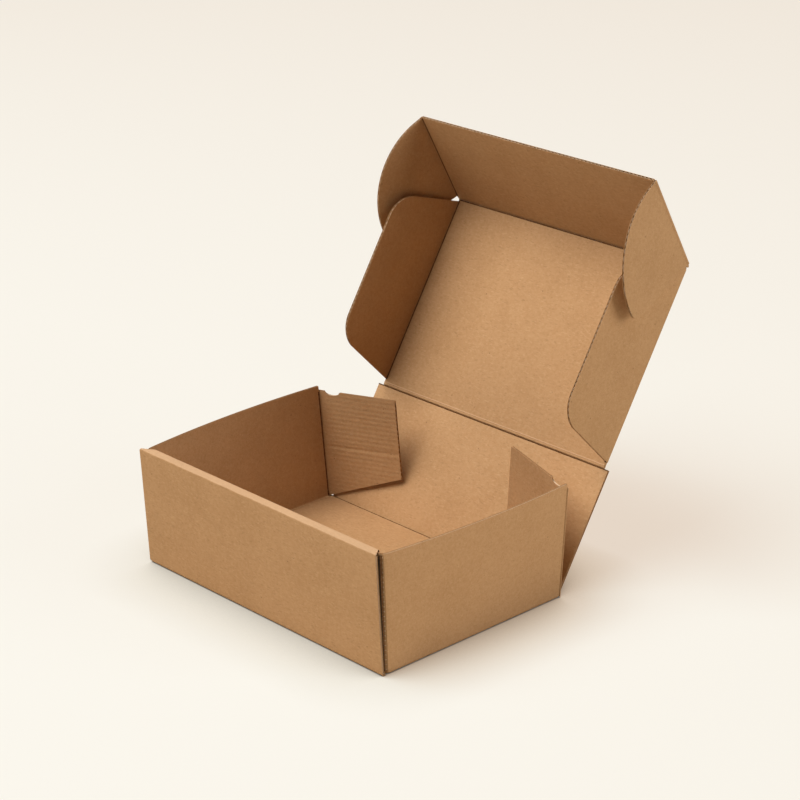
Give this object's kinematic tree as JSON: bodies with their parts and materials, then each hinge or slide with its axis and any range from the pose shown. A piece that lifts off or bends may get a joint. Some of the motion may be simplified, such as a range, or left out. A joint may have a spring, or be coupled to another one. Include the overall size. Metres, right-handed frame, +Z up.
{
  "type": "die-cut box",
  "caption": "Corrugated mailer tray with a double roll-over front wall and sprung side walls; hinged back wall, winged lid, tuck flap with round ears, and rear flaps.",
  "frame": {"origin": "on the underside of the floor, midway between the side walls and midway from the front wall's foot to the upright back wall's outer face", "axes": "+Z up, +Y from the front wall towards the back wall and lid, +X to the right of someone facing the front wall"},
  "size_m": [0.2464, 0.2815, 0.2578],
  "materials": {
    "kraft_board": "brown kraft corrugated board, E flute, matt, with cut edges that show the flute"
  },
  "bodies": {
    "tray": {"tray": "kraft_board"},
    "back_wall": {"back_wall": "kraft_board"},
    "lid": {"lid": "kraft_board"},
    "tuck_flap": {"tuck_flap": "kraft_board"},
    "ear_left": {"ear_left": "kraft_board"},
    "ear_right": {"ear_right": "kraft_board"},
    "rear_flap_left": {"rear_flap_left": "kraft_board"},
    "rear_flap_right": {"rear_flap_right": "kraft_board"}
  },
  "joints": [
    {"name": "back_wall_hinge", "type": "hinge", "parent": "tray", "child": "back_wall", "pos_m": [0, 0.0772, 0.0008], "axis": [1, 0, 0], "range_deg": [-15, 32.7]},
    {"name": "lid_hinge", "type": "hinge", "parent": "back_wall", "child": "lid", "pos_m": [0, 0.12388, 0.07351], "axis": [1, 0, 0], "range_deg": [-41.48, 90.2]},
    {"name": "tuck_flap_hinge", "type": "hinge", "parent": "lid", "child": "tuck_flap", "pos_m": [0, 0.19973, 0.19165], "axis": [1, 0, 0], "range_deg": [-17.63, 38.2]},
    {"name": "ear_left_hinge", "type": "hinge", "parent": "tuck_flap", "child": "ear_left", "pos_m": [-0.1072, 0.19973, 0.19165], "axis": [0, -0.4587, 0.8886], "range_deg": [-3.41, 7.2]},
    {"name": "ear_right_hinge", "type": "hinge", "parent": "tuck_flap", "child": "ear_right", "pos_m": [0.1072, 0.19973, 0.19165], "axis": [0, 0.4587, -0.8886], "range_deg": [-3.41, 7.2]},
    {"name": "rear_flap_left_hinge", "type": "hinge", "parent": "tray", "child": "rear_flap_left", "pos_m": [-0.1117, 0.0753, 0], "axis": [0.0902, 0, -0.9959], "range_deg": [-5.93, 12.7]},
    {"name": "rear_flap_right_hinge", "type": "hinge", "parent": "tray", "child": "rear_flap_right", "pos_m": [0.1117, 0.0753, 0], "axis": [0.0902, 0, 0.9959], "range_deg": [-5.93, 12.7]}
  ],
  "couplings": [
    {"joint": "lid_hinge", "follows": "back_wall_hinge", "ratio": 2.7523},
    {"joint": "tuck_flap_hinge", "follows": "back_wall_hinge", "ratio": 1.1621},
    {"joint": "ear_left_hinge", "follows": "back_wall_hinge", "ratio": 0.21407},
    {"joint": "ear_right_hinge", "follows": "back_wall_hinge", "ratio": 0.21407},
    {"joint": "rear_flap_left_hinge", "follows": "back_wall_hinge", "ratio": 0.38226},
    {"joint": "rear_flap_right_hinge", "follows": "back_wall_hinge", "ratio": 0.38226}
  ]
}
